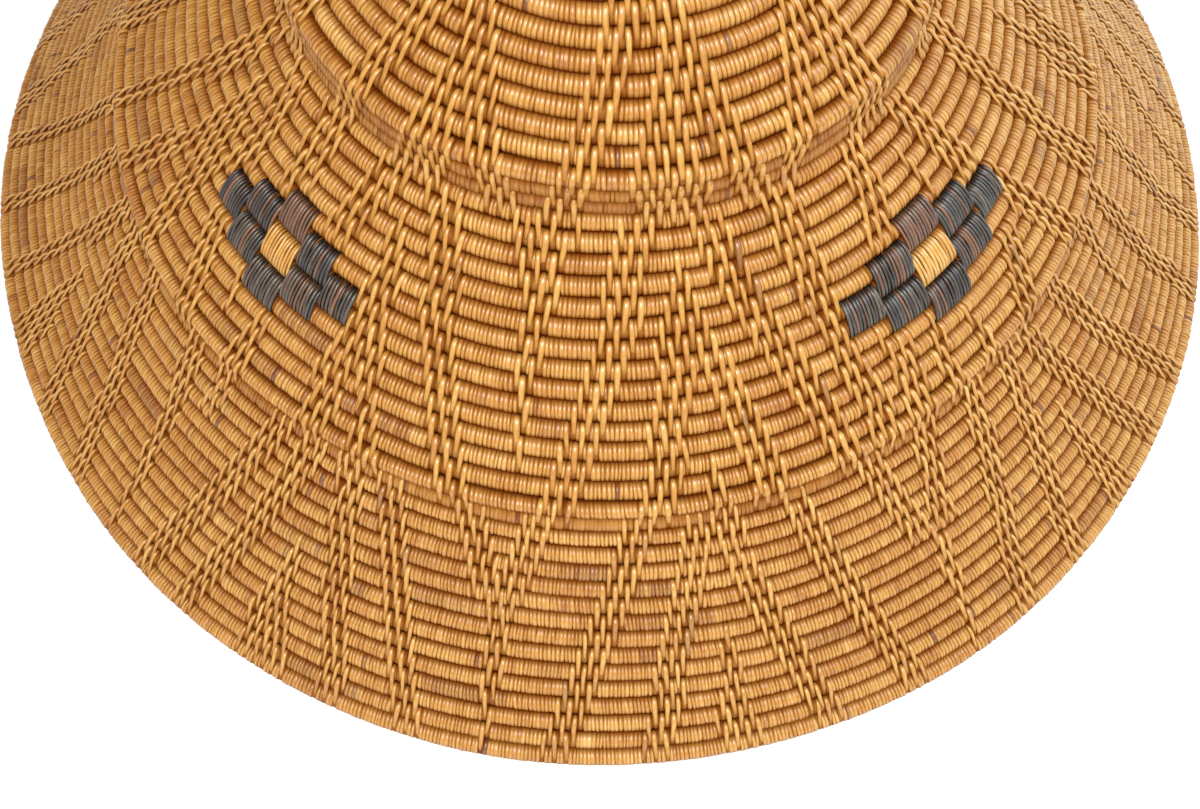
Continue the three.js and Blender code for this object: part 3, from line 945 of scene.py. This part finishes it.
def make_camera():
    """The camera, in front of the hat and above it."""
    elevation = math.radians(CAMERA_ELEVATION)
    back = Vector((0, -math.cos(elevation), math.sin(elevation)))
    right = Vector((1, 0, 0))
    ahead, up = turned(-back, right.cross(-back), CAMERA_TILT)
    ahead, right = turned(ahead, right, CAMERA_PAN)
    right, up = turned(right, up, CAMERA_ROLL)
    data = bpy.data.cameras.new("camera")
    data.lens = CAMERA_LENS
    data.sensor_width = CAMERA_SENSOR
    data.sensor_fit = "HORIZONTAL"
    data.clip_start = 0.01
    camera = bpy.data.objects.new("camera", data)
    axes = Matrix((right, up, -ahead)).transposed().to_4x4()
    target = Vector((0, 0, RIM_HEIGHT * MM))
    camera.matrix_world = Matrix.Translation(target + back * CAMERA_DISTANCE) @ axes
    bpy.context.scene.collection.objects.link(camera)
    bpy.context.scene.camera = camera


def make_floor():
    """A wide pale floor, just under the rim."""
    corners = [(x * FLOOR_HALF, y * FLOOR_HALF, 0) for x, y in ((-1, -1), (1, -1), (1, 1), (-1, 1))]
    mesh = bpy.data.meshes.new("floor")
    mesh.from_pydata(corners, [], [(0, 1, 2, 3)])
    floor = bpy.data.objects.new("floor", mesh)
    floor.location.z = -FLOOR_DROP
    tree = Tree("floor")
    position = tree.nodes.new("ShaderNodeTexCoord").outputs["Object"]
    tree.feed(tree.shader.inputs["Base Color"], tree.ramp(tree.noise(position, FLOOR_NOISE), FLOOR_COLOURS))
    tree.feed(tree.shader.inputs["Roughness"], FLOOR_ROUGHNESS)
    mesh.materials.append(tree.material)
    bpy.context.scene.collection.objects.link(floor)


def add_area(name, location, size, power, colour):
    """A soft light at a place in metres, aimed at the middle of the hat."""
    data = bpy.data.lights.new(name, "AREA")
    data.shape = "RECTANGLE"
    data.size, data.size_y = size
    data.energy = power
    data.color = colour
    light = bpy.data.objects.new(name, data)
    light.location = location
    aim = HAT_MIDDLE - light.location
    light.rotation_euler = aim.to_track_quat("-Z", "Y").to_euler()
    bpy.context.scene.collection.objects.link(light)


def make_lights():
    """A soft key light above the front, a broad window at the right behind the hat, and a dim room."""
    world = bpy.data.worlds.new("studio")
    world.use_nodes = True
    background = world.node_tree.nodes["Background"]
    background.inputs["Color"].default_value = (*WARM_WHITE, 1.0)
    background.inputs["Strength"].default_value = WORLD_STRENGTH
    bpy.context.scene.world = world
    add_area("key", (0.0, -0.84, 1.36), (0.5, 0.5), 31.5, WARM_WHITE)
    add_area("window", (1.15, 0.62, 0.72), (1.5, 1.0), 20, COOL_WHITE)
    bpy.context.scene.view_settings.view_transform = "Standard"


make_camera()
make_rows()
make_stitches()
make_checks()
dress_cores()
make_floor()
make_lights()
